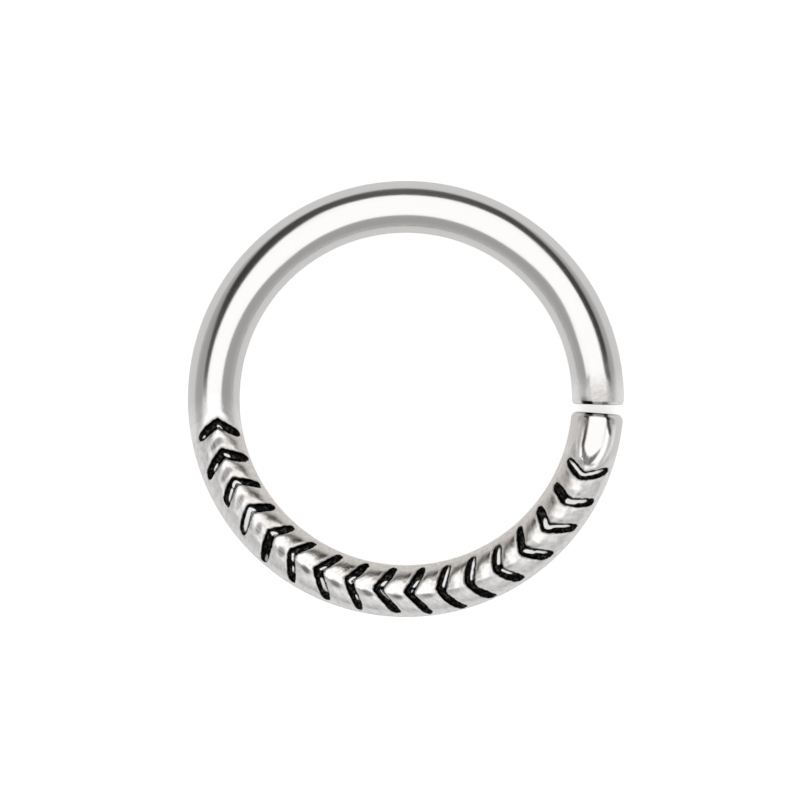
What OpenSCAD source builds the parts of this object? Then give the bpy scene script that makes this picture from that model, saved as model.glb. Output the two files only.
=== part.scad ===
// Septum ring: one length of round wire bent into a ring with a narrow split,
// and a row of chevron grooves pressed into its front. It lies on z = 0 with
// the ring's axis along +Z, and its front faces +Z.

/* [Wire] */
// Thickness of the round wire
wire_d = 1.25; // [1.1:0.05:1.6]
// Clear width inside the ring
inner_d = 8; // [7:0.5:12]

/* [Split] */
// Gap between the two ends, along the middle of the wire
gap_w = 0.2; // [0.1:0.05:0.8]
// Direction of the gap, counter-clockwise from +X as the front is seen
gap_angle = -2.9; // [-180:0.1:180]
// Rounding round the face of the long plain end
long_end_round = 0.1; // [0.05:0.01:0.25]
// Rounding round the face of the short end, beside the chevrons
short_end_round = 0.16; // [0.05:0.01:0.25]

/* [Chevrons] */
// Number of chevron grooves
chevron_count = 17; // [3:1:20]
// Step from one chevron to the next, along the middle of the wire
chevron_pitch = 0.754; // [0.7:0.01:0.9]
// Length of the short end, from its face to the nearest chevron's tip
short_end_len = 1.66; // [1:0.05:2.5]
// Width of a groove
groove_w = 0.18; // [0.1:0.01:0.24]
// Depth of a groove below the wire's surface
groove_depth = 0.12; // [0.05:0.01:0.18]
// Distance from the wire's middle line to the far side of an arm's end
arm_reach = 0.53; // [0.35:0.01:0.54]
// Slant of an arm where it leaves the tip, from square across the wire
arm_slant = 28; // [15:1:35]
// Bend radius of an arm, which slants more towards its end
arm_bend_r = 1.5; // [1.2:0.1:4]

/* [Hidden] */
$fn = 128;

wire_r = wire_d / 2;
mid_r = inner_d / 2 + wire_r;

// The rounds at a chevron's tip and ends stand this much proud of its walls,
// and an end's rounding starts this far outside the wire, so that surfaces
// cross there and none merely touch
proud = 0.005;

// How far a cutter reaches past what it cuts
past = 0.2;

// The level that the arms' ends are cut down to, above the wire's middle
arm_floor = sqrt(pow(wire_r, 2) - pow(arm_reach, 2)) - groove_depth;
cut_h = wire_r - arm_floor + past;

// An arm is an arc, turning from its slant at the tip until its end is reached
round_r = groove_w / 2 + proud;
arm_turn = asin(sin(arm_slant) + (arm_reach - round_r) / arm_bend_r) - arm_slant;

// Turns a length along the middle of the wire into degrees round the ring
function round_ring(length) = length / mid_r * 180 / PI;

half_gap = round_ring(gap_w / 2);

// How much of the gap each end's cut takes, so that the two overlap
gap_share = 0.75;

function tip_angle(i) =
    gap_angle - round_ring(gap_w / 2 + short_end_len + i * chevron_pitch);

// Puts its children on the middle of the wire at an angle round the ring
module on_wire(angle) {
    rotate([0, 0, angle])
        translate([mid_r, 0, 0])
            children();
}

// Round bar bent into a whole ring
module bent_bar(radius) {
    rotate_extrude()
        translate([mid_r, 0])
            circle(radius);
}

// Outline of an end, from its middle to its rim: the face is at y = 0, and the
// rim is an arc that starts on the wire's side
module end_outline(rim) {
    side = wire_r + proud;
    difference() {
        translate([0, -2 * rim])
            square([side, 2 * rim]);
        translate([side - rim, -rim])
            difference() {
                square(rim);
                circle(rim);
            }
    }
}

// What is taken off the wire at one end: the metal beyond its face and round
// its rim. A turn of 90 faces the end clockwise round the ring, -90 the other.
module end_cut(angle, turn, rim) {
    on_wire(angle)
        rotate([turn, 0, 0])
            difference() {
                translate([0, 0, -rim])
                    cylinder(r = wire_r + past, h = rim + gap_w * gap_share);
                rotate_extrude()
                    end_outline(rim);
            }
}

// One arm of a chevron, from its tip at the origin out along +Y and back
// along +X, with a round end
module arm() {
    translate([arm_bend_r * cos(arm_slant), -arm_bend_r * sin(arm_slant), 0])
        rotate([0, 0, 180 - arm_slant - arm_turn]) {
            rotate_extrude(angle = arm_turn)
                translate([arm_bend_r - groove_w / 2, 0])
                    square([groove_w, cut_h]);
            translate([arm_bend_r, 0, 0])
                cylinder(r = round_r, h = cut_h);
        }
}

// A whole chevron, its round tip touching x = 0
module chevron() {
    translate([round_r, 0, arm_floor]) {
        cylinder(r = round_r, h = cut_h);
        for (side = [0, 1])
            mirror([0, side, 0])
                arm();
    }
}

// The grooves go one depth into the wire's round surface
module chevron_grooves() {
    difference() {
        for (i = [0 : chevron_count - 1])
            on_wire(tip_angle(i))
                rotate([0, 0, 90])
                    chevron();
        bent_bar(wire_r - groove_depth);
    }
}

module ring() {
    color("silver")
        translate([0, 0, wire_r])
            difference() {
                bent_bar(wire_r);
                end_cut(gap_angle + half_gap, 90, long_end_round);
                end_cut(gap_angle - half_gap, -90, short_end_round);
                chevron_grooves();
            }
}

ring();
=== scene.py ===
import math
from types import SimpleNamespace
import bpy
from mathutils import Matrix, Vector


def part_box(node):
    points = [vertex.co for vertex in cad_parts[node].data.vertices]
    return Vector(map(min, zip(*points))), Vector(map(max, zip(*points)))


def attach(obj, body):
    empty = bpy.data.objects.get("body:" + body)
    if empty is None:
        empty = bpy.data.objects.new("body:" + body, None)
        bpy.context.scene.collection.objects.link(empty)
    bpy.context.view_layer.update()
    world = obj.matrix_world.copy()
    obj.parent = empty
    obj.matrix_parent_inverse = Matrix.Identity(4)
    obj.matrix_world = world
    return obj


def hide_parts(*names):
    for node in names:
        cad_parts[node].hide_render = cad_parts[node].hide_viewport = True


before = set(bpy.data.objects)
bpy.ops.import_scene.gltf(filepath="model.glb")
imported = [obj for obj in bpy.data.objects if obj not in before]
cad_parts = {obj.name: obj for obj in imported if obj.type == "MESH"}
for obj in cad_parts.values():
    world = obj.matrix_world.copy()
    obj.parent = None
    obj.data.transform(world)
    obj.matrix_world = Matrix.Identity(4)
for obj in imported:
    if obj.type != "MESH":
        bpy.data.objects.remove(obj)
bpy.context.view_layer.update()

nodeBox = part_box("ring")
mm = 0.001
wireRadius = (nodeBox[1].z - nodeBox[0].z) / 2
bendRadius = (nodeBox[1].x - nodeBox[0].x) / 2 - wireRadius


class Sock:
    # a node socket that Python sums work on: each operation adds its own Math node
    def __init__(self, tree, socket=None):
        self.tree = tree
        self.socket = socket

    def add(self, kind, settings=None, values=None, output=0):
        # any other node: its settings go in first, then the values or links of its sockets
        made = self.tree.nodes.new(kind)
        for name, value in (settings or {}).items():
            if name == "stops":
                fillRamp(made.color_ramp, value)
            else:
                setattr(made, name, value)
        for name, value in (values or {}).items():
            if isinstance(value, Sock):
                self.tree.links.new(value.socket, made.inputs[name])
            else:
                made.inputs[name].default_value = value
        return Sock(self.tree, made.outputs[output])

    def math(self, operation, *values):
        return self.add("ShaderNodeMath", {"operation": operation}, dict(enumerate(values)))

    def __add__(self, other):
        return self.math("ADD", self, other)

    def __radd__(self, other):
        return self.math("ADD", other, self)

    def __sub__(self, other):
        return self.math("SUBTRACT", self, other)

    def __rsub__(self, other):
        return self.math("SUBTRACT", other, self)

    def __mul__(self, other):
        return self.math("MULTIPLY", self, other)

    def __rmul__(self, other):
        return self.math("MULTIPLY", other, self)

    def __truediv__(self, other):
        return self.math("DIVIDE", self, other)

    def __rtruediv__(self, other):
        return self.math("DIVIDE", other, self)

    def __pow__(self, other):
        return self.math("POWER", self, other)

    def __abs__(self):
        return self.math("ABSOLUTE", self)

    def __lt__(self, other):
        return self.math("LESS_THAN", self, other)

    def __gt__(self, other):
        return self.math("GREATER_THAN", self, other)

    def larger(self, other):
        return self.math("MAXIMUM", self, other)

    def clip(self, low, high):
        return self.math("MINIMUM", self, high).larger(low)

    def ease(self, start, end):
        # 0 before start, 1 past end, smooth between them
        return self.add("ShaderNodeMapRange", {"interpolation_type": "SMOOTHSTEP"},
                        {"Value": self, "From Min": start, "From Max": end})

    def within(self, rise, fall):
        # 1 between two soft edges, each given as where it is 0 and where it is 1
        return self.ease(*rise) * self.ease(*fall)

    def hump(self):
        # 1 at 0, curving down to 0 at -1 and at 1
        share = self.clip(-1, 1)
        return 1 - share * share

    def noise(self, scale, detail):
        return self.add("ShaderNodeTexNoise", None, {"Vector": self, "Scale": scale, "Detail": detail})

    def spread(self, gain, middle):
        # draws a noise out to run from 0 to 1, with middle where the noise is 0.5
        return ((self - 0.5) * gain + middle).clip(0, 1)


def fillRamp(ramp, stops):
    while len(ramp.elements) < len(stops):
        ramp.elements.new(0.5)
    for element, (place, colour) in zip(ramp.elements, stops):
        element.position = place
        element.color = colour


# the bar: lengths in millimetres, angles in degrees, rounds and counts
barShape = {
    "gapAngle": -2.9,         # the middle of the split, from the right of the photo
    "gapWidth": 0.2,
    "longEndRound": 0.1,
    "shortEndRound": 0.16,
    "shortEndLength": 1.675,  # from the short end's face to the nearest groove's tip
    "capColumns": 14,
    "faceColumns": 4,
    "plainColumns": 112,
    "shortColumns": 22,
    "rows": 108,
    "frontCrowding": 0.6,     # how much closer the rows are on the front
    "mergeGap": 0.0001,       # points closer than this are made one, at the seam and the end faces' middles
}

# the chevron grooves, numbered from the left round to the split: lengths in millimetres
grooveShape = {
    "count": 17,
    "pitch": 0.754,
    "width": 0.245,
    "depth": 0.17,          # how much deeper the tip is than the arms' ends, as the floor is flatter
    "endDepth": 0.08,       # the depth at the arms' ends, as a share of that
    "slant": 28,            # degrees from square across, at the tip
    "taper": 0.60,          # how much narrower the arms are at their ends
    "taperPower": 4.0,      # more is a later narrowing
    "endPower": 2.2,        # how the arms end: 2 is round, more is squarer
    "tipRound": 0.05,
    "tipBlend": 0.1,        # how far each side of the tip the two arms' widths blend
    "columns": 40,          # in one pitch
    "crowding": 0.75,       # how much closer the columns are at a groove
    "handover": (0.2, 0.8),  # the part of a pitch in which one groove's row gives way to the next one's
    "floorShare": 0.45,
    "ragged": 0.055,        # how uneven its edges are, and the size of that (per mm)
    "raggedScale": 10.0,
    "lipHigh": 0.007,       # burr along its edges
    "lipWide": 0.024,
    "lipBehind": 0.5,       # how much of the burr is on the notch's side
    "lipScale": 3.0,        # it comes and goes: the size of that (per mm), and the noise where it does
    "lipRange": (0.36, 0.6),
    "fade": 1.2,            # the plain part over which the columns turn square again
}

# the metal left between two grooves: rounded down to both, with a flatter outer side. Lengths in
# millimetres, places across the wire as shares of its radius, and places along as shares of the pitch.
# A soft edge is given as where it is 0 and where it is 1
landShape = {
    "nearWidth": 0.12,      # rounding behind a groove, on its notch's side
    "nearDrop": 0.020,
    "farPower": 1.1,        # 1 is a straight slope towards the next groove, more is a rounder one
    "farAcross": ((-0.75, -0.35), (0.50, 0.10)),
    "armsPast": 0.14,       # how far past the arms' ends the rounding and the burr fade out
    "leadShare": 0.30,      # how much of the first row's rounding is before the first groove
    "leadPale": 0.90,       # before the first groove the bar turns matt, with a painted sheen, in two steps: how much of that, and where
    "leadSteps": [(0.55, (-1.0, -0.7)), (0.45, (-0.5, -0.42))],  # how much of that, and where
    "leadEnd": (0.05, -0.1),
    "finishEnds": ((-0.5, 0.1), (0.45, 0.0)),   # from the first groove and from the last: the edges of
    "roundEnds": ((-0.5, -0.40), (0.5, 0.38)),  # the finish, of the rounding and of what is pale
    "paleEnds": ((-0.5, -0.3), (0.5, 0.3)),
    "finishFront": (-0.25, 0.35),               # the finish is on the front: heights over the wire's middle
    "facetPlace": 0.365,    # the flatter outer side
    "facetInner": 0.34,
    "facetOuter": 0.45,
    "facetDepth": 0.048,
    "flankPlace": 0.45,     # that side is matt, with a painted sheen
    "flankHalf": 0.38,
    "flankEdge": (0, 0.6),
    "flankPale": 1.0,
    "rimPale": 0.8,         # so is the inner rim, matt with a painted sheen
    "rimEdge": (-0.74, -0.88),
    "patchEdge": (1, 0.1),  # of a patch of painted shade, whose middle is at 0
    "shadePlace": -0.54,    # painted shade on its inner side, before the next groove
    "shadeTall": 0.22,
    "shadeLong": 0.17,
    "dimmedAcross": ((-0.02, 0.18), (0.42, 0.28)),  # painted shade on the stretch beside the bright middle
    "warmAcross": (-0.1, -0.45),                  # the warmer inner side
}

# the bright marks on the grooves' floors
markShape = {
    "edge": (1.4, 0.7),     # 0 is a mark's middle, and 1 its ends and sides as its row gives them
    "longPower": 4,         # how square its ends are
    "ragged": 0.04,         # how uneven its sides are (mm)
    "shortest": 0.01,       # there is no mark where its row gives it less than this
    "leastLong": 0.0001,    # these keep what divides off zero: a share, and mm
    "leastWide": 0.001,
}

# the long plain end beside the split: places across are shares of the wire's radius, and places along are
# millimetres from its face
longEndShape = {
    "square": (0.75, 0.4),  # it is a little squarer than round there
    "worn": (0.85, 0.2),    # matt there, with painted shade in its middle and a painted sheen at its sides
    "mattAndDimAcross": (0.48, 0.30),
    "sidesAcross": (0.25, 0.40),
    "sidesPale": 0.85,
    "rim": (0.13, 0.07),    # painted dark reflection on its face's rim, in two stretches: how dark, and where across
    "rimDark": [(1.0, (-0.72, -0.60), (-0.18, -0.30)), (0.6, (0.06, 0.16), (0.40, 0.28))],
}

# the short plain end beside the split, likewise
endShape = {
    "starts": (0.2, 0.7),   # in pitches from the last groove, and then as a share of what is left
    "startsShort": (-0.01, 0.2),
    "squarePlace": 0.50,    # both ends are a little squarer than round: across, half width, height (mm)
    "squareWide": 0.40,
    "squareHigh": 0.018,
    "ridges": [(-0.58, 0.15, 0.016), (0.55, 0.20, 0.026)],  # low and long: across, half width, height (mm)
    "ridgeAlong": ((1.45, 1.10), (0.15, 0.39)),             # their ends
    # the ridges are matt, with a painted highlight
    "ridgePale": 1.0,
    "ridgePaleEdge": (0, 0.5),
    "ridgeBend": 0.2,       # they close in by this share towards the grooves
    "ridgeBends": (0.85, 1.2),
    "arcBack": 1.17,        # a painted dark reflection, an arc where it meets the last groove's metal: back from the face (mm), across, its half sizes and how it curves towards the face
    "arcSide": -0.05,       # across, its half sizes and how it curves towards the face
    "arcLong": 0.13,
    "arcHigh": 0.36,
    "arcBend": 2.4,
    "arcPower": 4,
    "arcEdge": (1.2, 0.2),
    "arcDark": 1.1,
    "lineSide": -0.50,      # a painted dark reflection, a thin line along its inner side: across, half width and how it curves
    "lineHalf": 0.065,
    "lineBend": 0.19,
    "lineEdge": (0, 0.8),
    "lineAlong": ((1.1, 0.9), (0.14, 0.24)),
    "lineDark": 0.45,
    "darkSpotBack": 0.30,       # a painted dark reflection, a spot on its outer side: back from the face (mm), across, half sizes
    "darkSpotSide": 0.43,
    "darkSpotLong": 0.30,
    "darkSpotHigh": 0.075,
    "darkSpotSlope": 0.12,
    "darkSpotEdge": (1, 0.3),
    "dull": 0.16,           # a little painted shade on its inner side
    "dimmedAcross": (-0.58, -0.68),
    "glow": (0.15, 0.09),   # a painted highlight in the middle of its face's rim
    "glowAcross": ((-0.32, -0.20), (0.28, 0.17)),
    "rim": (0.08, 0.04),    # painted dark reflection on its face's rim, in two stretches, likewise
    "rimDark": [(1.0, (-0.62, -0.50), (-0.20, -0.32)), (1.0, (0.17, 0.28), (0.44, 0.34))],
}

# one row a groove. shift: off the even pitch (mm). tipSide: its tip's place across the wire. outerReach,
# innerReach: where its arms end. outerSweep, innerSweep: how far back they end (mm). outerWide, innerWide:
# share of the width above. bend: share of the sweep that comes from a bend. Places are shares of the
# wire's radius
grooveChart = [
    ("shift", "tipSide", "outerReach", "innerReach", "outerSweep", "innerSweep",
     "outerWide", "innerWide", "bend"),
    (0.005, -0.14, 0.70, 0.91, 0.31, 0.40, 1.04, 0.99, 0.07),
    (-0.005, -0.09, 0.78, 0.95, 0.45, 0.35, 1.00, 1.15, 0.12),
    (-0.023, -0.17, 0.62, 0.93, 0.45, 0.45, 1.06, 0.80, 0.35),
    (-0.001, -0.13, 0.74, 0.91, 0.38, 0.36, 1.03, 1.00, 0.22),
    (0.012, -0.14, 0.92, 0.88, 0.35, 0.35, 1.05, 0.97, 0.08),
    (-0.041, -0.10, 0.88, 0.88, 0.42, 0.39, 0.90, 0.85, 0.28),
    (-0.037, -0.08, 0.90, 0.92, 0.51, 0.42, 1.02, 0.92, 0.22),
    (-0.016, -0.16, 0.90, 0.93, 0.46, 0.39, 0.90, 0.97, 0.12),
    (-0.032, -0.06, 0.82, 0.93, 0.56, 0.41, 0.90, 1.04, 0.20),
    (-0.031, 0.00, 0.92, 0.92, 0.50, 0.43, 0.80, 1.06, 0.14),
    (-0.014, 0.08, 0.96, 0.84, 0.50, 0.33, 0.80, 1.20, 0.64),
    (-0.069, 0.09, 0.94, 0.84, 0.47, 0.35, 0.80, 1.20, 0.66),
    (-0.070, -0.01, 0.86, 0.80, 0.41, 0.33, 1.05, 1.14, 0.53),
    (-0.071, -0.12, 0.82, 0.86, 0.47, 0.36, 1.22, 0.90, 0.42),
    (-0.033, -0.15, 0.80, 0.86, 0.46, 0.29, 1.13, 1.18, 0.11),
    (0.022, -0.12, 0.84, 0.84, 0.32, 0.24, 1.01, 1.20, 0.42),
    (-0.017, -0.06, 0.84, 0.80, 0.37, 0.28, 0.92, 1.18, 0.46),
]

# where each groove's floor is bright, in two marks, glint and spark. From and To: along the arms, from -1 at
# the inner arm's end to 1 at the outer one's. Off: how far behind the groove's middle. Wide: across it (mm)
glintChart = [
    ("glintFrom", "glintTo", "glintOff", "glintWide", "sparkFrom", "sparkTo", "sparkOff", "sparkWide"),
    (0.73, 0.85, 0.045, 0.038, -0.32, 0.04, 0.105, 0.150),
    (0.44, 0.70, 0.055, 0.085, -0.38, -0.08, 0.015, 0.075),
    (-0.30, 0.30, 0.030, 0.100, 0.34, 0.80, 0.060, 0.120),
    (-0.24, 0.86, 0.030, 0.160, 0.00, 0.00, 0.000, 0.000),
    (-0.32, 0.02, 0.050, 0.160, 0.78, 0.94, 0.040, 0.060),
    (-0.02, 0.34, 0.045, 0.095, 0.54, 0.72, 0.040, 0.055),
    (0.34, 0.76, 0.045, 0.125, -0.36, -0.03, 0.055, 0.105),
    (-0.34, 0.13, 0.050, 0.115, 0.56, 0.72, 0.050, 0.065),
    (-0.50, -0.21, 0.045, 0.115, 0.00, 0.50, 0.080, 0.065),
    (-0.58, -0.25, 0.058, 0.115, -0.12, 0.04, 0.065, 0.040),
    (-0.94, -0.16, 0.052, 0.085, 0.00, 0.00, 0.000, 0.000),
    (-0.94, -0.12, 0.054, 0.085, 0.00, 0.00, 0.000, 0.000),
    (-0.88, -0.20, 0.050, 0.120, 0.16, 0.62, 0.056, 0.095),
    (0.06, 0.54, 0.008, 0.100, 0.48, 0.82, 0.055, 0.080),
    (-0.48, 0.30, 0.010, 0.120, 0.10, 0.80, 0.035, 0.070),
    (-0.12, 0.50, -0.005, 0.120, 0.42, 0.78, 0.022, 0.080),
    (-0.88, 0.20, 0.022, 0.075, 0.04, 0.84, 0.030, 0.085),
]

# one row for the metal after each groove. farDrop, farWide: how far it rounds down, and over what length
# (mm). pale: how matt it is, with a painted sheen in its lighter colour. flank: how matt its outer side,
# with
# a painted sheen. facet: how flat that side, and below 0 rounder than the wire. smudge: how dark the
# painted shade beside its top, then where and how large. shade: how dark the painted shade on its inner
# side, then where along. dimmed: how dark the painted shade on the stretch beside its bright middle
landChart = [
    ("farDrop", "farWide", "pale", "flank", "facet", "smudge", "smudgeSide", "smudgeAlong",
     "smudgeTall", "smudgeLong", "shade", "shadeAlong", "dull"),
    (0.075, 0.25, 0.50, 0.85, -0.20, 0.85, 0.06, 0.55, 0.40, 0.17, 0.45, 0.46, 0.38),
    (0.075, 0.25, 0.20, 0.85, -0.20, 0.85, 0.06, 0.55, 0.40, 0.17, 0.50, 0.46, 0.38),
    (0.065, 0.25, 0.20, 0.85, -0.20, 0.85, 0.08, 0.55, 0.34, 0.17, 0.60, 0.50, 0.36),
    (0.060, 0.24, 0.20, 0.85, -0.10, 0.85, 0.12, 0.56, 0.28, 0.17, 0.60, 0.50, 0.30),
    (0.045, 0.18, 0.10, 0.90, 0.40, 0.85, 0.14, 0.55, 0.24, 0.20, 0.70, 0.60, 0.18),
    (0.034, 0.13, 0.00, 1.00, 1.00, 0.80, 0.17, 0.53, 0.17, 0.20, 0.72, 0.69, 0.00),
    (0.032, 0.13, 0.00, 1.00, 1.00, 0.80, 0.17, 0.53, 0.17, 0.20, 0.72, 0.69, 0.00),
    (0.032, 0.13, 0.00, 1.00, 1.00, 0.75, 0.17, 0.53, 0.17, 0.22, 0.72, 0.69, 0.00),
    (0.032, 0.13, 0.10, 1.00, 0.95, 0.70, 0.17, 0.53, 0.17, 0.22, 0.72, 0.69, 0.00),
    (0.032, 0.13, 0.10, 1.00, 0.90, 0.50, 0.18, 0.53, 0.12, 0.24, 0.68, 0.69, 0.00),
    (0.034, 0.13, 0.10, 1.00, 0.80, 0.45, -0.08, 0.30, 0.36, 0.17, 0.65, 0.70, 0.00),
    (0.034, 0.13, 0.20, 0.95, 0.70, 0.50, -0.08, 0.30, 0.36, 0.17, 0.68, 0.70, 0.00),
    (0.034, 0.13, 0.30, 0.95, 0.60, 0.50, -0.08, 0.30, 0.36, 0.17, 0.68, 0.70, 0.00),
    (0.034, 0.13, 0.40, 0.95, 0.60, 0.50, -0.06, 0.31, 0.36, 0.17, 0.62, 0.70, 0.00),
    (0.034, 0.13, 0.70, 0.85, 0.50, 0.45, -0.04, 0.31, 0.34, 0.15, 0.50, 0.70, 0.00),
    (0.034, 0.13, 0.80, 0.85, 0.50, 0.45, -0.02, 0.31, 0.32, 0.14, 0.40, 0.70, 0.00),
    (0.050, 0.36, 0.60, 0.60, 0.60, 0.00, 0.06, 0.58, 0.34, 0.10, 0.00, 0.70, 0.00),
]

lastGroove = grooveShape["count"] - 1


def makeChart():
    # one loose point a groove, which carries that groove's rows
    mesh = bpy.data.meshes.new("grooveChart")
    mesh.from_pydata([(float(i), 0.0, 0.0) for i in range(grooveShape["count"])], [], [])
    for chart in (grooveChart, glintChart, landChart):
        for column, name in enumerate(chart[0]):
            attribute = mesh.attributes.new(name, "FLOAT", "POINT")
            attribute.data.foreach_set("value", [row[column] for row in chart[1:]])
    return mesh


def chartReader(node, chart):
    def look(name, index):
        value = node.add("GeometryNodeInputNamedAttribute", {"data_type": "FLOAT"}, {"Name": name})
        return node.add("GeometryNodeSampleIndex", {"data_type": "FLOAT", "domain": "POINT", "clamp": True},
                        {"Geometry": chart, "Value": value, "Index": index})
    return look


def roundedEnd(node, size, steps, rounding):
    # a number of columns from an end: the bar's radius there, and how far behind the face's plane that is
    caps = barShape["capColumns"]
    share = steps.clip(0, caps) / caps
    faceShare = barShape["faceColumns"] / caps
    face = (share / faceShare).clip(0, 1)
    arc = ((share - faceShare) / (1 - faceShare)).clip(0, 1) * (math.pi / 2)
    radius = (size["Wire radius"] - rounding) * face + rounding * node.math("SINE", arc)
    return radius, rounding * (1 - node.math("COSINE", arc))


def wrapGrid(node, size):
    # the grid's columns run along the bar and its rows round the wire. at holds where each point is
    caps, plains, shorts, rows = (
        barShape[name] for name in ("capColumns", "plainColumns", "shortColumns", "rows"))
    zones = grooveShape["count"] * grooveShape["columns"]
    columns = 2 * caps + plains + zones + shorts + 1
    at = SimpleNamespace()
    at.grid = node.add("GeometryNodeMeshGrid", None, {"Vertices X": columns, "Vertices Y": rows + 1})
    index = node.add("GeometryNodeInputIndex")
    column = node.math("FLOOR", (index + 0.5) / (rows + 1))
    row = index - column * (rows + 1)

    # the angle round the wire, 0 at the front, and the place across it as seen from the front
    turn = (0.5 - row / rows) * (2 * math.pi)
    at.angle = turn - barShape["frontCrowding"] * node.math("SINE", turn)
    at.side = node.math("SINE", at.angle)
    at.front = node.math("COSINE", at.angle)
    at.isFront = at.front > 0

    # the lengths along the bar, at its middle line, from the long end's face
    at.halfGap = node.math("ARCSINE", size["Gap width"] / 2 / size["Bend radius"])
    barLength = (2 * math.pi - 2 * at.halfGap) * size["Bend radius"]
    halfTip = size["Groove width"] / 2 / node.math("COSINE", size["Slant"])
    lastPlace = barLength - size["Short end length"] + halfTip
    zoneStart = lastPlace - (lastGroove + 0.5) * size["Pitch"]
    zoneEnd = lastPlace + 0.5 * size["Pitch"]
    plainLength = zoneStart - size["Long end round"]
    shortLength = barLength - size["Short end round"] - zoneEnd

    longRadius, longStep = roundedEnd(node, size, column, size["Long end round"])
    shortRadius, at.shortStep = roundedEnd(node, size, (columns - 1) - column, size["Short end round"])
    at.section = node.math("MINIMUM", longRadius, shortRadius)

    # beat is 0 at the first groove, 1 at the second and so on
    body = column - caps
    plainPart = body.clip(0, plains) / plains
    zonePart = (body - plains).clip(0, zones) / grooveShape["columns"]
    at.shortPart = (body - plains - zones).clip(0, shorts) / shorts
    at.beat = zonePart - 0.5
    crowd = grooveShape["crowding"] / (2 * math.pi)
    evenPart = zonePart - crowd * node.math("SINE", at.beat * (2 * math.pi))
    at.evenPlace = size["Pitch"] * (evenPart - 0.5)
    at.along = (longStep + plainLength * plainPart + size["Pitch"] * evenPart + shortLength * at.shortPart
                + (size["Short end round"] - at.shortStep))
    at.inZone = at.along.within((zoneStart - size["Fade"], zoneStart),
                                (barLength - size["Short end round"], zoneEnd))
    at.lead = (at.along - zoneStart) / size["Pitch"] - 0.5
    at.ahead = at.along / mm                # millimetres from the long end's face
    at.back = (barLength - at.along) / mm   # and from the short end's
    # the wire's skin laid out flat, in millimetres
    at.skin = node.add("ShaderNodeCombineXYZ", None, {
        "X": at.ahead, "Y": at.angle * size["Wire radius"] / mm})
    return at


def overGrooves(at, name):
    # 1 over the grooved part, between two edges given from its first and from its last groove
    start, end = landShape[name]
    return at.beat.within(start, [lastGroove + place for place in end])


def pressGrooves(node, size, at, look):
    # what the chart says of the nearest groove, and of the two that a point lies between
    at.nearest = node.math("FLOOR", at.beat + 0.5).clip(0, lastGroove)
    at.before = node.math("FLOOR", at.beat).clip(0, lastGroove)
    after = node.math("FLOOR", at.beat + 1).clip(0, lastGroove)
    between = (at.beat - at.before).clip(0, 1).ease(*grooveShape["handover"])

    def blend(name):
        start = look(name, at.before)
        return start + between * (look(name, after) - start)

    at.shift = blend("shift") * mm
    tipAcross = blend("tipSide") * size["Wire radius"]
    offTip = at.side * size["Wire radius"] - tipAcross
    outer = offTip > 0
    inner = 1 - outer
    reach = blend("outerReach") * outer + blend("innerReach") * inner
    reachWidth = reach * size["Wire radius"] - tipAcross * (outer - inner)
    endSweep = (blend("outerSweep") * outer + blend("innerSweep") * inner) * mm
    tipBlend = grooveShape["tipBlend"] * mm
    innerWide = look("innerWide", at.nearest)
    outerMore = look("outerWide", at.nearest) - innerWide
    fullWide = (innerWide + offTip.ease(-tipBlend, tipBlend) * outerMore) * size["Groove width"]

    def gapFrom(index):
        return at.evenPlace + at.shift - size["Pitch"] * index - look("shift", index) * mm

    # how far the arms sweep back, and how steeply they run there
    offset = node.math("SQRT", offTip * offTip + size["Tip round"] * size["Tip round"]) - size["Tip round"]
    share = offset / reachWidth
    bend = blend("bend")
    at.sweep = endSweep * (share * (1 - bend) + bend * share * share)
    slope = endSweep / reachWidth * ((1 - bend) + 2 * bend * share)
    lean = 1 / node.math("SQRT", 1 + slope * slope)

    # the groove's own cut, from the distance to its middle line, with rounded ends to its arms
    wide = fullWide * (1 - grooveShape["taper"] * share.clip(0, 1) ** grooveShape["taperPower"])
    at.fromMiddle = gapFrom(at.nearest)
    at.sideways = at.fromMiddle * lean
    at.pastEnd = ((abs(offTip) - (reachWidth - wide / 2 * lean)) / lean).larger(0)
    at.ragged = at.skin.noise(grooveShape["raggedScale"], 2) - 0.5
    power = grooveShape["endPower"]
    distance = (abs(at.sideways) ** power + at.pastEnd ** power) ** (1 / power)
    distance = distance + at.ragged * grooveShape["ragged"] * mm
    at.cut = distance.ease(wide / 2, wide / 2 * grooveShape["floorShare"]) * at.isFront
    at.rise = (offTip / reachWidth).clip(-1, 1)
    at.depth = size["Groove depth"] * (1 + grooveShape["endDepth"] - at.rise * at.rise)

    # the distances to the edges of the groove behind, of the next one and of the nearest
    at.nearEdge = (abs(gapFrom(at.before)) * lean - wide / 2).larger(0)
    at.farEdge = (abs(gapFrom(after)) * lean - wide / 2).larger(0)
    at.anyEdge = abs(at.sideways) - wide / 2


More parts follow.
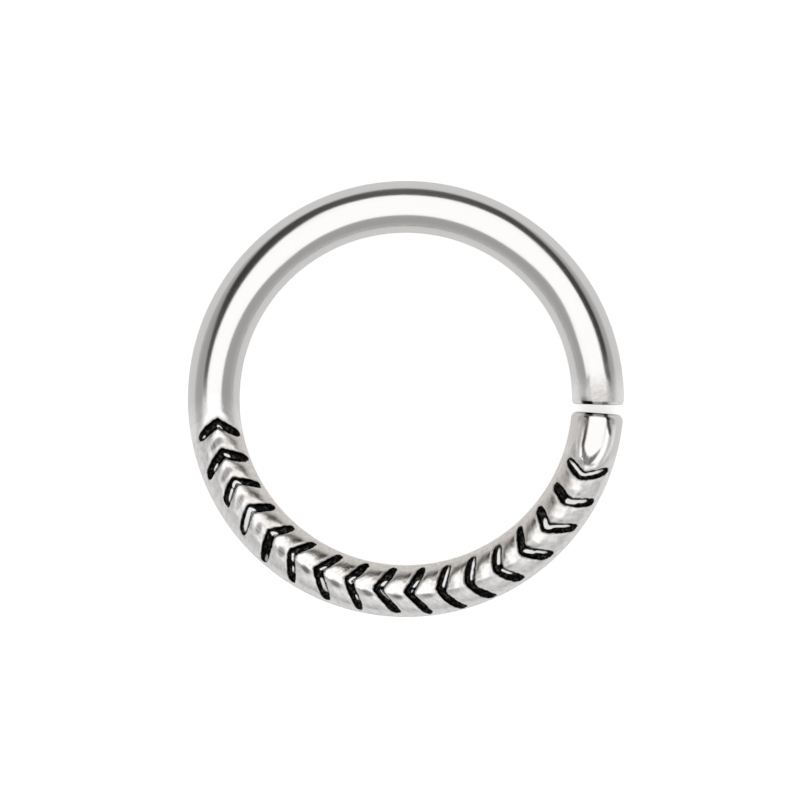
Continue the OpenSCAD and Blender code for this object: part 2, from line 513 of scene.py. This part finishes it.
def roundLands(at, look):
    # how far the metal between the grooves lies below the round wire, in metres
    armHere = at.pastEnd.ease(landShape["armsPast"] * mm, 0) * at.isFront
    at.inGrooves = overGrooves(at, "finishEnds")
    nearFall = (1 - at.nearEdge / (landShape["nearWidth"] * mm)).larger(0)
    farDrop = look("farDrop", at.before) * ((at.beat > 0) + landShape["leadShare"] * (at.beat < 0))
    farFall = (1 - at.farEdge / (look("farWide", at.before) * mm)).larger(0) ** landShape["farPower"]
    farFall = farDrop * farFall * at.side.within(*landShape["farAcross"])
    fall = (landShape["nearDrop"] * nearFall * nearFall + farFall) * armHere * overGrooves(at, "roundEnds")

    facetSide = at.side - landShape["facetPlace"]
    facetWidth = (facetSide > 0) * landShape["facetOuter"] + (facetSide < 0) * landShape["facetInner"]
    facet = (facetSide / facetWidth).hump()
    facet = landShape["facetDepth"] * look("facet", at.before) * facet * facet
    fall = fall + facet * at.inGrooves * at.isFront

    lipWide = grooveShape["lipWide"] * mm
    lipSide = grooveShape["lipBehind"] + (1 - grooveShape["lipBehind"]) * (at.sideways < 0)
    lipNoise = at.skin.noise(grooveShape["lipScale"], 2).ease(*grooveShape["lipRange"])
    at.lip = (at.anyEdge / lipWide - 1).hump() * lipSide * armHere * lipNoise
    return (fall - grooveShape["lipHigh"] * at.lip) * mm


def shapeEnds(at):
    # how far the plain ends stand above the round wire, in metres
    starts = [lastGroove + place for place in endShape["starts"]]
    at.onShortEnd = at.beat.ease(*starts) * at.shortPart.ease(*endShape["startsShort"])
    square = ((abs(at.side) - endShape["squarePlace"]) / endShape["squareWide"]).hump()
    onEnds = at.onShortEnd + at.ahead.ease(*longEndShape["square"])
    rise = endShape["squareHigh"] * square * square * onEnds * at.isFront
    onRidges = at.back.within(*endShape["ridgeAlong"]) * at.isFront
    closeIn = 1 - endShape["ridgeBend"] * at.back.ease(*endShape["ridgeBends"])
    at.ridgePale = 0
    for place, half, high in endShape["ridges"]:
        ridge = ((at.side - place * closeIn) / half).hump() * onRidges
        rise = rise + high * ridge * ridge
        at.ridgePale = at.ridgePale + endShape["ridgePale"] * ridge.ease(*endShape["ridgePaleEdge"])
    return rise * mm


def floorMark(at, look, name):
    start, end, off, markWide = (look(name + part, at.nearest) for part in ("From", "To", "Off", "Wide"))
    on = (at.rise - (start + end) / 2) / ((end - start) / 2 + markShape["leastLong"])
    over = at.fromMiddle / mm - off + at.ragged * markShape["ragged"]
    over = over / (markWide / 2 + markShape["leastWide"])
    fromMark = on ** markShape["longPower"] + over * over
    return fromMark.ease(*markShape["edge"]) * (end - start > markShape["shortest"])


def paleMarks(at, look):
    # how matt the metal is, with a painted sheen in its lighter colour
    flank = (1 - abs(at.side - landShape["flankPlace"]) / landShape["flankHalf"]).clip(0, 1)
    flank = landShape["flankPale"] * flank.ease(*landShape["flankEdge"]) * look("flank", at.before)
    sides = (flank + landShape["rimPale"] * at.side.ease(*landShape["rimEdge"])) * at.inGrooves
    lead = sum(share * at.lead.ease(*place) for share, place in landShape["leadSteps"])
    lead = landShape["leadPale"] * lead * at.lead.ease(*landShape["leadEnd"])
    # painted highlight in the middle of the short end's face rim
    glow = at.back.ease(*endShape["glow"]) * at.side.within(*endShape["glowAcross"]) * at.isFront
    pale = (look("pale", at.before) * overGrooves(at, "paleEnds")).larger(sides).larger(lead)
    return pale.larger(at.ridgePale * (at.beat > lastGroove + endShape["starts"][0])).larger(glow)


def darkMarks(size, at, look):
    # painted shade: dark patches, the dimmed stretch, and the short end's dark spot, arc and line. shade is
    # browner
    landPart = at.lead + (at.shift - look("shift", at.before) * mm) / size["Pitch"] - at.before

    def patch(up, on):
        return (up * up + on * on).ease(*landShape["patchEdge"]) * at.isFront

    # painted shade on each land, where its row puts it
    smudge = look("smudge", at.before) * patch(
        (at.side - look("smudgeSide", at.before)) / look("smudgeTall", at.before),
        (landPart - look("smudgeAlong", at.before)) / look("smudgeLong", at.before))
    shade = look("shade", at.before) * patch(
        (at.side - landShape["shadePlace"]) / landShape["shadeTall"],
        (landPart - look("shadeAlong", at.before)) / landShape["shadeLong"])
    # painted shade beside each land's bright middle, and on the short end's inner side
    dull = look("dull", at.before) * at.side.within(*landShape["dimmedAcross"]) * at.inGrooves
    dull = (dull + endShape["dull"] * at.onShortEnd * at.side.ease(*endShape["dimmedAcross"])) * at.isFront

    # painted dark reflection: a spot on the short end's outer side
    darkSpotOn = (at.back - endShape["darkSpotBack"]) / endShape["darkSpotLong"]
    darkSpotUp = (at.side - endShape["darkSpotSide"] - endShape["darkSpotSlope"] * darkSpotOn) / endShape["darkSpotHigh"]
    darkSpot = (darkSpotOn * darkSpotOn + darkSpotUp * darkSpotUp).ease(*endShape["darkSpotEdge"]) * at.isFront
    # painted dark reflection: the arc where the short end meets the last groove's metal
    arcUp = at.side - endShape["arcSide"]
    arcOn = (at.back - endShape["arcBack"] + endShape["arcBend"] * arcUp * arcUp) / endShape["arcLong"]
    arc = (arcOn * arcOn + (arcUp / endShape["arcHigh"]) ** endShape["arcPower"]).ease(*endShape["arcEdge"])
    arc = arc * at.isFront * endShape["arcDark"]
    # painted dark reflection: the thin line along the short end's inner side
    line = at.side - endShape["lineSide"] - endShape["lineBend"] * at.back * at.back
    line = (1 - abs(line) / endShape["lineHalf"]).clip(0, 1).ease(*endShape["lineEdge"])
    line = line * at.back.within(*endShape["lineAlong"]) * at.isFront * endShape["lineDark"]
    return smudge.larger(dull).larger(darkSpot).larger(arc.larger(line)), shade


def ringMarks(size, at, look):
    # what the material reads, as attributes
    def rimDark(shape):
        return sum(share * at.side.within(rise, fall) for share, rise, fall in shape["rimDark"])

    # painted dark reflection on the end faces' rims
    longDark = rimDark(longEndShape) * at.ahead.ease(*longEndShape["rim"])
    shortDark = rimDark(endShape) * (at.shortStep / mm).ease(*endShape["rim"])
    # the long end is matt, with painted shade in its middle
    worn = at.ahead.ease(*longEndShape["worn"]) * at.isFront * (1 - longDark)
    pale = paleMarks(at, look)
    pale = pale.larger(longEndShape["sidesPale"] * worn * abs(at.side).ease(*longEndShape["sidesAcross"]))
    smudge, shade = darkMarks(size, at, look)
    warm = at.side.ease(*landShape["warmAcross"]) * at.isFront * at.inGrooves.larger(at.onShortEnd)
    return {
        "cut": at.cut,
        "worn": worn * abs(at.side).ease(*longEndShape["mattAndDimAcross"]),
        "warm": warm,
        "bright": floorMark(at, look, "glint").larger(floorMark(at, look, "spark")) * at.isFront,
        "smudge": smudge,
        "shade": shade,
        "pale": pale,
        "lip": at.lip,
        "ends": (longDark + shortDark) * at.isFront,
        "lands": at.inGrooves * at.front.ease(*landShape["finishFront"]),
        "skin": at.skin,
    }


def ringTree(material):
    tree = bpy.data.node_groups.new("ringTree", "GeometryNodeTree")
    tree.interface.new_socket("Chart", in_out="INPUT", socket_type="NodeSocketGeometry")
    settings = {
        "Wire radius": wireRadius,
        "Bend radius": bendRadius,
        "Gap angle": math.radians(barShape["gapAngle"]),
        "Gap width": barShape["gapWidth"] * mm,
        "Long end round": barShape["longEndRound"] * mm,
        "Short end round": barShape["shortEndRound"] * mm,
        "Short end length": barShape["shortEndLength"] * mm,
        "Pitch": grooveShape["pitch"] * mm,
        "Groove width": grooveShape["width"] * mm,
        "Groove depth": grooveShape["depth"] * mm,
        "Slant": math.radians(grooveShape["slant"]),
        "Tip round": grooveShape["tipRound"] * mm,
        "Fade": grooveShape["fade"] * mm,
    }
    for name, value in settings.items():
        socket = tree.interface.new_socket(name, in_out="INPUT", socket_type="NodeSocketFloat")
        socket.default_value = value
    tree.interface.new_socket("Ring", in_out="OUTPUT", socket_type="NodeSocketGeometry")
    node = Sock(tree)
    entry = tree.nodes.new("NodeGroupInput")
    size = {name: Sock(tree, entry.outputs[name]) for name in settings}
    look = chartReader(node, Sock(tree, entry.outputs["Chart"]))

    at = wrapGrid(node, size)
    pressGrooves(node, size, at, look)
    fall = roundLands(at, look) - shapeEnds(at)

    # nothing falls or rises at the middle of an end's face, so that the face stays closed
    fall = fall * (at.section / size["Wire radius"])
    radius = at.section - at.cut * at.depth - (1 - at.cut) * fall
    ringAngle = size["Gap angle"] + at.halfGap + (
        at.along + (at.shift + at.sweep) * at.inZone) / size["Bend radius"]
    out = size["Bend radius"] + radius * at.side
    place = node.add("ShaderNodeCombineXYZ", None, {
        "X": out * node.math("COSINE", ringAngle),
        "Y": out * node.math("SINE", ringAngle),
        "Z": size["Wire radius"] + radius * at.front,
    })
    shaped = node.add("GeometryNodeSetPosition", None, {"Geometry": at.grid, "Position": place})
    for name, value in ringMarks(size, at, look).items():
        kind = "FLOAT_VECTOR" if name == "skin" else "FLOAT"
        shaped = node.add("GeometryNodeStoreNamedAttribute", {"data_type": kind, "domain": "POINT"},
                          {"Geometry": shaped, "Name": name, "Value": value})
    closed = node.add("GeometryNodeMergeByDistance", None, {
        "Geometry": shaped, "Distance": barShape["mergeGap"] * mm})
    smooth = node.add("GeometryNodeSetShadeSmooth", None, {"Geometry": closed, "Shade Smooth": True})
    real = node.add("GeometryNodeRealizeInstances", None, {"Geometry": smooth})
    dressed = node.add("GeometryNodeSetMaterial", None, {"Geometry": real, "Material": material})
    result = tree.nodes.new("NodeGroupOutput")
    tree.links.new(dressed.socket, result.inputs["Ring"])
    return tree, settings


def makeRing(material):
    tree, settings = ringTree(material)
    maker = bpy.data.objects.new("ringMaker", makeChart())
    bpy.context.scene.collection.objects.link(maker)
    modifier = maker.modifiers.new("ring", "NODES")
    modifier.node_group = tree
    for item in tree.interface.items_tree:
        if item.in_out == "INPUT" and item.name in settings:
            modifier[item.identifier] = settings[item.name]
    graph = bpy.context.evaluated_depsgraph_get()
    mesh = bpy.data.meshes.new_from_object(maker.evaluated_get(graph))
    mesh.name = "ringMesh"
    bpy.data.objects.remove(maker)
    ring = bpy.data.objects.new("steel_ring", mesh)
    bpy.context.scene.collection.objects.link(ring)
    print("ring:", len(mesh.vertices), "points,", len(mesh.polygons), "faces")
    return ring


# noise scales are per millimetre of the skin, but the grain's is per metre
steelLook = {
    "colour": (0.725, 0.714, 0.703, 1),
    "landColour": (0.84, 0.83, 0.82, 1),
    # the matt metal's lighter colour, a painted sheen
    "paleColour": (0.99, 0.97, 0.96, 1),
    "warm": (0.84, 0.79, 0.73, 1),       # the inner side, less polished
    "warmShare": 0.6,
    "spots": (0.42, 0.39, 0.37, 1),      # faint, between the grooves
    "spotShare": 0.32,
    "spotScale": 9.0,
    "burrSheen": (0.96, 0.95, 0.94, 1),     # the burr along the grooves, with a painted highlight in its lighter colour
    "black": (0.004, 0.004, 0.004, 1),
    "blackEdge": (0.02, 0.25),           # where the black starts on a groove's wall, and where it is full
    "soot": (0.045, 0.042, 0.040, 1),    # its lighter grains
    "glint": (0.60, 0.60, 0.60, 1),
    # the colour of the painted shade over the lands' and the short end's highlights
    "paintedShadeGrey": (0.12, 0.115, 0.11, 1),
    # the colour of the painted shade on the lands' inner side
    "brown": (0.11, 0.085, 0.07, 1),
    "dimColour": (0.49, 0.47, 0.46, 1),  # the painted shade on the long end beside the split
    "plainRoughness": 0.17,
    "wornRoughness": 0.30,
    "landRoughness": 0.27,
    "paleRoughness": 0.50,
    "rubbedRoughness": 0.6,
    "streakRoughness": 0.10,
    "uneven": {                          # the least of each mark, and how much more the noise adds
        "pale": (0.6, 0.4),
        "smudge": (0.65, 0.4),
        "shade": (0.55, 0.6),
        "worn": (0.4, 0.6),
    },
    "grainScale": 14000.0,
    "streakScale": (0.9, 16.0, 1.0),     # along the bar and round the wire
    "brushScale": (14.0, 1.6, 1.0),
    "grainHigh": 1.6,                    # shares of the relief below
    "brushHigh": 2.2,
    "streakHigh": 0.15,
    "relief": 0.003,                     # mm
}


def steelMaterial():
    material = bpy.data.materials.new("polishedSteel")
    material.use_nodes = True
    tree = material.node_tree
    tree.nodes.clear()
    node = Sock(tree)

    def mark(name):
        return node.add("ShaderNodeAttribute", {"attribute_name": name}, None, 2)

    def mix(share, first, second):
        return node.add("ShaderNodeMix", {"data_type": "RGBA"}, {0: share, 6: first, 7: second}, 2)

    def uneven(name, noise):
        least, more = steelLook["uneven"][name]
        return mark(name) * (least + more * noise)

    def stretched(scale, detail):
        place = node.add("ShaderNodeMapping", None, {"Vector": skin, "Scale": steelLook[scale]})
        return place.noise(1, detail)

    skin = node.add("ShaderNodeAttribute", {"attribute_name": "skin"}, None, 1)
    grain = node.add("ShaderNodeTexCoord", None, None, 3).noise(steelLook["grainScale"], 3)
    streak = stretched("streakScale", 4)
    brush = stretched("brushScale", 3)
    spots = skin.noise(steelLook["spotScale"], 4).spread(4, 0.4)
    patchy = grain.spread(3, 0.6)
    streaky = streak.spread(4, 0.6)
    lands, pale, lip, bright, cut, worn = (
        mark(name) for name in ("lands", "pale", "lip", "bright", "cut", "worn"))

    colour = mix(lands, steelLook["colour"], steelLook["landColour"])
    # painted sheen where the metal is matt
    colour = mix(uneven("pale", patchy), colour, steelLook["paleColour"])
    colour = mix(mark("warm") * steelLook["warmShare"], colour, steelLook["warm"])
    colour = mix(lands * spots * steelLook["spotShare"], colour, steelLook["spots"])
    # painted shade: dark patches laid over the highlights
    colour = mix(uneven("smudge", streaky), colour, steelLook["paintedShadeGrey"])
    # painted shade on the lands' inner side, browner
    colour = mix(uneven("shade", patchy), colour, steelLook["brown"])
    # painted highlight along the grooves' burr
    colour = mix(lip, colour, steelLook["burrSheen"])
    colour = mix(bright, colour, steelLook["glint"])
    sooty = mix(grain.spread(6, 0), steelLook["black"], steelLook["soot"])
    colour = mix(cut.ease(*steelLook["blackEdge"]) * (1 - bright), colour, sooty)
    # painted dark reflection on the end faces' rims
    colour = mix(mark("ends"), colour, steelLook["black"])
    # painted shade on the long end's matt middle
    colour = mix(uneven("worn", patchy), colour, steelLook["dimColour"])

    plain, land = steelLook["plainRoughness"], steelLook["landRoughness"]
    roughness = (plain + steelLook["streakRoughness"] * (streak - 0.5)
                 + (1 - bright) * lands * (land - plain)
                 + worn * (steelLook["wornRoughness"] - plain)
                 + pale * (steelLook["paleRoughness"] - land)
                 + lip * (steelLook["rubbedRoughness"] - land))
    relief = lands * (1 - cut) * (steelLook["grainHigh"] * grain + steelLook["brushHigh"] * brush)
    relief = relief + steelLook["streakHigh"] * streak
    bump = node.add("ShaderNodeBump", None, {
        "Strength": 1.0, "Distance": steelLook["relief"] * mm, "Height": relief})
    shader = node.add("ShaderNodeBsdfPrincipled", None, {
        "Base Color": colour, "Metallic": 1.0, "Roughness": roughness, "Normal": bump})
    output = tree.nodes.new("ShaderNodeOutputMaterial")
    tree.links.new(shader.socket, output.inputs["Surface"])
    return material


# the camera looks straight down on the ring, which lies flat; pixels are of the 800 x 800 frame
photoFrame = {
    "pixels": 800,
    "ringCentre": (405.86, 399.04),
    "ringOuterRadius": 218.1,
    "lens": 180.0,
    "sensor": 36.0,
    "clipStart": 0.001,
    "clipEnd": 10,
}


def makeCamera():
    outerRadius = bendRadius + wireRadius
    perPixel = outerRadius / photoFrame["ringOuterRadius"]
    half = photoFrame["pixels"] / 2
    centre = photoFrame["ringCentre"]
    distance = photoFrame["pixels"] * perPixel * photoFrame["lens"] / photoFrame["sensor"]
    camera = bpy.data.objects.new("camera", bpy.data.cameras.new("camera"))
    bpy.context.scene.collection.objects.link(camera)
    camera.location = ((half - centre[0]) * perPixel, (centre[1] - half) * perPixel, wireRadius + distance)
    camera.data.lens = photoFrame["lens"]
    camera.data.sensor_width = photoFrame["sensor"]
    camera.data.clip_start = photoFrame["clipStart"]
    camera.data.clip_end = photoFrame["clipEnd"]
    bpy.context.scene.camera = camera


# the cards' places are shares of their height, with x to the right and y up the photo. Slopes are degrees
# down from straight up, and bearings degrees round from the photo's right
studio = {
    "height": 0.3,
    "cards": [
        {"name": "overheadCard", "x": (-0.56, 0.70), "y": (-0.78, 1.24)},
        {"name": "sideCard", "x": (-1.16, -0.56), "y": (-0.42, -0.02)},
    ],
    "cardLight": 1.37,
    "surround": 0.455,       # the room beyond the cards, and lower down, towards the floor
    "low": 0.60,
    "lowSlope": (70, 95),
    "gapMiddle": 0.72,       # a dark gap behind the cards, on the photo's upper side: how deep in its middle
    "gapReach": [(5, 52), (12, 62), (30, 65), (45, 73), (62, 86), (118, 86),  # how low it comes at a bearing
                 (135, 79), (150, 67), (163, 50), (178, 46)],
    "gapEdge": 3,
    "gapBearing": ((5, 11), (179, 174)),
    "floorSize": 2.0,
    "floor": 0.95,
    "floorLift": 0.55,      # brightens it for the camera, as the photo's cleared ground
    "floorHaze": 0.16,
    "floorGlow": 0.80,      # how much of its light the floor throws on the ring
}


def makeCards():
    height = studio["height"]
    for card in studio["cards"]:
        light = bpy.data.lights.new(card["name"], "AREA")
        light.shape = "RECTANGLE"
        light.size = (card["x"][1] - card["x"][0]) * height
        light.size_y = (card["y"][1] - card["y"][0]) * height
        # an area light's radiance is its power / (area x pi)
        light.energy = studio["cardLight"] * light.size * light.size_y * math.pi
        holder = bpy.data.objects.new(card["name"], light)
        holder.location = (sum(card["x"]) * height / 2, sum(card["y"]) * height / 2, height)
        holder.visible_camera = False
        bpy.context.scene.collection.objects.link(holder)


def makeRoom():
    world = bpy.data.worlds.new("studio")
    bpy.context.scene.world = world
    world.use_nodes = True
    tree = world.node_tree
    tree.nodes.clear()
    node = Sock(tree)
    direction = node.add("ShaderNodeTexCoord", None, None, 0)
    east, north, up = (node.add("ShaderNodeSeparateXYZ", None, {0: direction}, axis) for axis in range(3))
    slope = node.math("ARCCOSINE", up) * (180 / math.pi)
    bearing = node.math("ARCTAN2", north, east) * (180 / math.pi)
    stops = [(place / 180, (reach / 90,) * 3 + (1,)) for place, reach in studio["gapReach"]]
    gapReach = node.add("ShaderNodeValToRGB", {"stops": stops}, {"Fac": bearing / 180}) * 90
    gap = (gapReach - slope).ease(-studio["gapEdge"], studio["gapEdge"])
    gap = gap * bearing.within(*studio["gapBearing"])
    gap = gap * (studio["gapMiddle"] + (1 - studio["gapMiddle"]) * abs(east))
    lower = (studio["low"] - studio["surround"]) * slope.ease(*studio["lowSlope"])
    strength = (studio["surround"] + lower) * (1 - gap)
    # no room light shows through a card
    for card in studio["cards"]:
        hidden = 1
        for way, (start, end) in ((east, card["x"]), (north, card["y"])):
            hidden = hidden * (way > start * up) * (way < end * up)
        strength = strength * (1 - hidden)
    background = node.add("ShaderNodeBackground", None, {"Color": (1, 1, 1, 1), "Strength": strength})
    output = tree.nodes.new("ShaderNodeOutputWorld")
    tree.links.new(background.socket, output.inputs["Surface"])


def makeFloor():
    bpy.ops.mesh.primitive_plane_add(size=studio["floorSize"])
    floor = bpy.context.active_object
    floor.name = "floor"
    paint = bpy.data.materials.new("paleFloor")
    paint.use_nodes = True
    tree = paint.node_tree
    tree.nodes.clear()
    node = Sock(tree)

    def matt(shade, glow):
        diffuse = node.add("ShaderNodeBsdfDiffuse", None, {"Color": (shade,) * 3 + (1,)})
        emission = node.add("ShaderNodeEmission", None, {"Color": (1, 1, 1, 1), "Strength": glow})
        return node.add("ShaderNodeAddShader", None, {0: diffuse, 1: emission})

    seen = node.add("ShaderNodeLightPath", None, None, 0)
    both = node.add("ShaderNodeMixShader", None, {
        0: seen,
        1: matt(studio["floorGlow"], studio["floorHaze"]),
        2: matt(studio["floor"], studio["floorLift"]),
    })
    output = tree.nodes.new("ShaderNodeOutputMaterial")
    tree.links.new(both.socket, output.inputs["Surface"])
    floor.data.materials.append(paint)


makeCamera()
makeCards()
makeRoom()
makeFloor()
bpy.context.scene.view_settings.view_transform = "Standard"
print("camera and studio are set")
ring = makeRing(steelMaterial())
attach(ring, "root")
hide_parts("ring")
